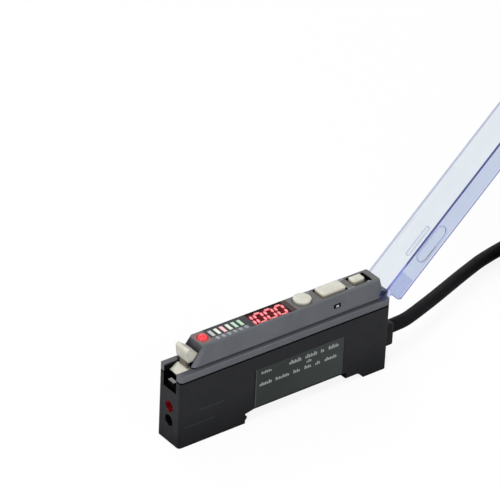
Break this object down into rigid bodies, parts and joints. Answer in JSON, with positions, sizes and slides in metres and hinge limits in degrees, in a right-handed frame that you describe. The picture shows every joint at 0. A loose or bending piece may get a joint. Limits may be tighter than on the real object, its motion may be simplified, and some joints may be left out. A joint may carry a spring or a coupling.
{
  "type": "fibre optic sensor amplifier",
  "caption": "Slim rail-mounted fibre optic sensor amplifier with a lock lever, digital display, push controls, hinged clear dust cover and a cable with bare leads.",
  "frame": {"origin": "middle of the rail seat on the underside, midway across the case", "axes": "+X from the fibre face to the cable face, +Y across the case along the rail, +Z away from the rail"},
  "size_m": [0.2112, 0.0372, 0.0678],
  "materials": {
    "charcoal_case": "fine moulded texture",
    "grey_case": "fine moulded texture",
    "label_film": "satin film",
    "clear_cover": "clear, faint blue",
    "ivory": "smooth",
    "pin_steel": "ground",
    "clamp_grey": "smooth",
    "black_plastic": "smooth",
    "emitter_red": "clear cast",
    "receiver_dark": "dark cast",
    "board_green": "solder mask",
    "pin_brass": "plated",
    "display_body": "smooth",
    "display_red": "lit",
    "smoked_window": "smoked, clear",
    "chip_cream": "smooth",
    "pipe_grey": "frosted",
    "pipe_cream": "frosted",
    "pipe_red": "frosted",
    "pipe_green": "frosted",
    "lamp_red": "clear cast, lit",
    "black_rubber": "smooth",
    "core_sleeves": "smooth",
    "cable_sheath": "satin",
    "tie_black": "smooth",
    "brown_sleeve": "smooth",
    "blue_sleeve": "smooth",
    "black_sleeve": "smooth",
    "tinned_copper": "tinned"
  },
  "bodies": {
    "case": {"lower_case": "charcoal_case", "upper_case": "grey_case", "rating_label": "label_film", "lever_pin": "pin_steel", "optic_holder": "black_plastic", "main_chips": "black_plastic", "set_switch": "black_plastic", "rocker_switches": "black_plastic", "mode_switch": "black_plastic", "emitter_led": "emitter_red", "receiver_diode": "receiver_dark", "main_board": "board_green", "display_board": "board_green", "board_header": "pin_brass", "digit_display": "display_body", "digit_segments": "display_red", "display_window": "smoked_window", "indicator_chips": "chip_cream", "light_pipe_grey": "pipe_grey", "light_pipe_cream": "pipe_cream", "light_pipe_red": "pipe_red", "light_pipe_green": "pipe_green", "output_led": "lamp_red", "cable_gland": "black_rubber", "inner_leads": "core_sleeves", "cable": "cable_sheath", "cable_coil": "cable_sheath", "cable_tail": "cable_sheath", "coil_ties": "tie_black", "lead_brown": "brown_sleeve", "lead_blue": "blue_sleeve", "lead_black": "black_sleeve", "lead_tips": "tinned_copper"},
    "cover": {"dust_cover": "clear_cover"},
    "lever": {"lock_lever": "ivory"},
    "clamp": {"fibre_clamp": "clamp_grey"},
    "button": {"set_button": "ivory"},
    "rocker": {"adjust_rocker": "ivory"},
    "knob": {"mode_knob": "ivory"}
  },
  "joints": [
    {"name": "cover_hinge", "type": "hinge", "parent": "case", "child": "cover", "pos_m": [0.02985, 0, 0.0212], "axis": [0, -1, 0], "range_deg": [0, 137]},
    {"name": "lever_hinge", "type": "hinge", "parent": "case", "child": "lever", "pos_m": [-0.03535, 0, 0.0163], "axis": [0, -1, 0], "range_deg": [0, 55]},
    {"name": "clamp_slide", "type": "slide", "parent": "case", "child": "clamp", "axis": [0, 0, 1], "range_m": [0, 0.00025]},
    {"name": "set_press", "type": "slide", "parent": "case", "child": "button", "axis": [0, 0, -1], "range_m": [0, 0.00035], "stiffness_N_per_m": 300},
    {"name": "rocker_tilt", "type": "hinge", "parent": "case", "child": "rocker", "pos_m": [0.01385, 0, 0.0243], "axis": [0, 1, 0], "range_deg": [-3, 3], "stiffness_Nm_per_rad": 0.02},
    {"name": "mode_slide", "type": "slide", "parent": "case", "child": "knob", "axis": [1, 0, 0], "range_m": [0, 0.0017]}
  ],
  "couplings": [
    {"joint": "lever_hinge", "follows": "clamp_slide", "rad_per_m": 3839}
  ]
}
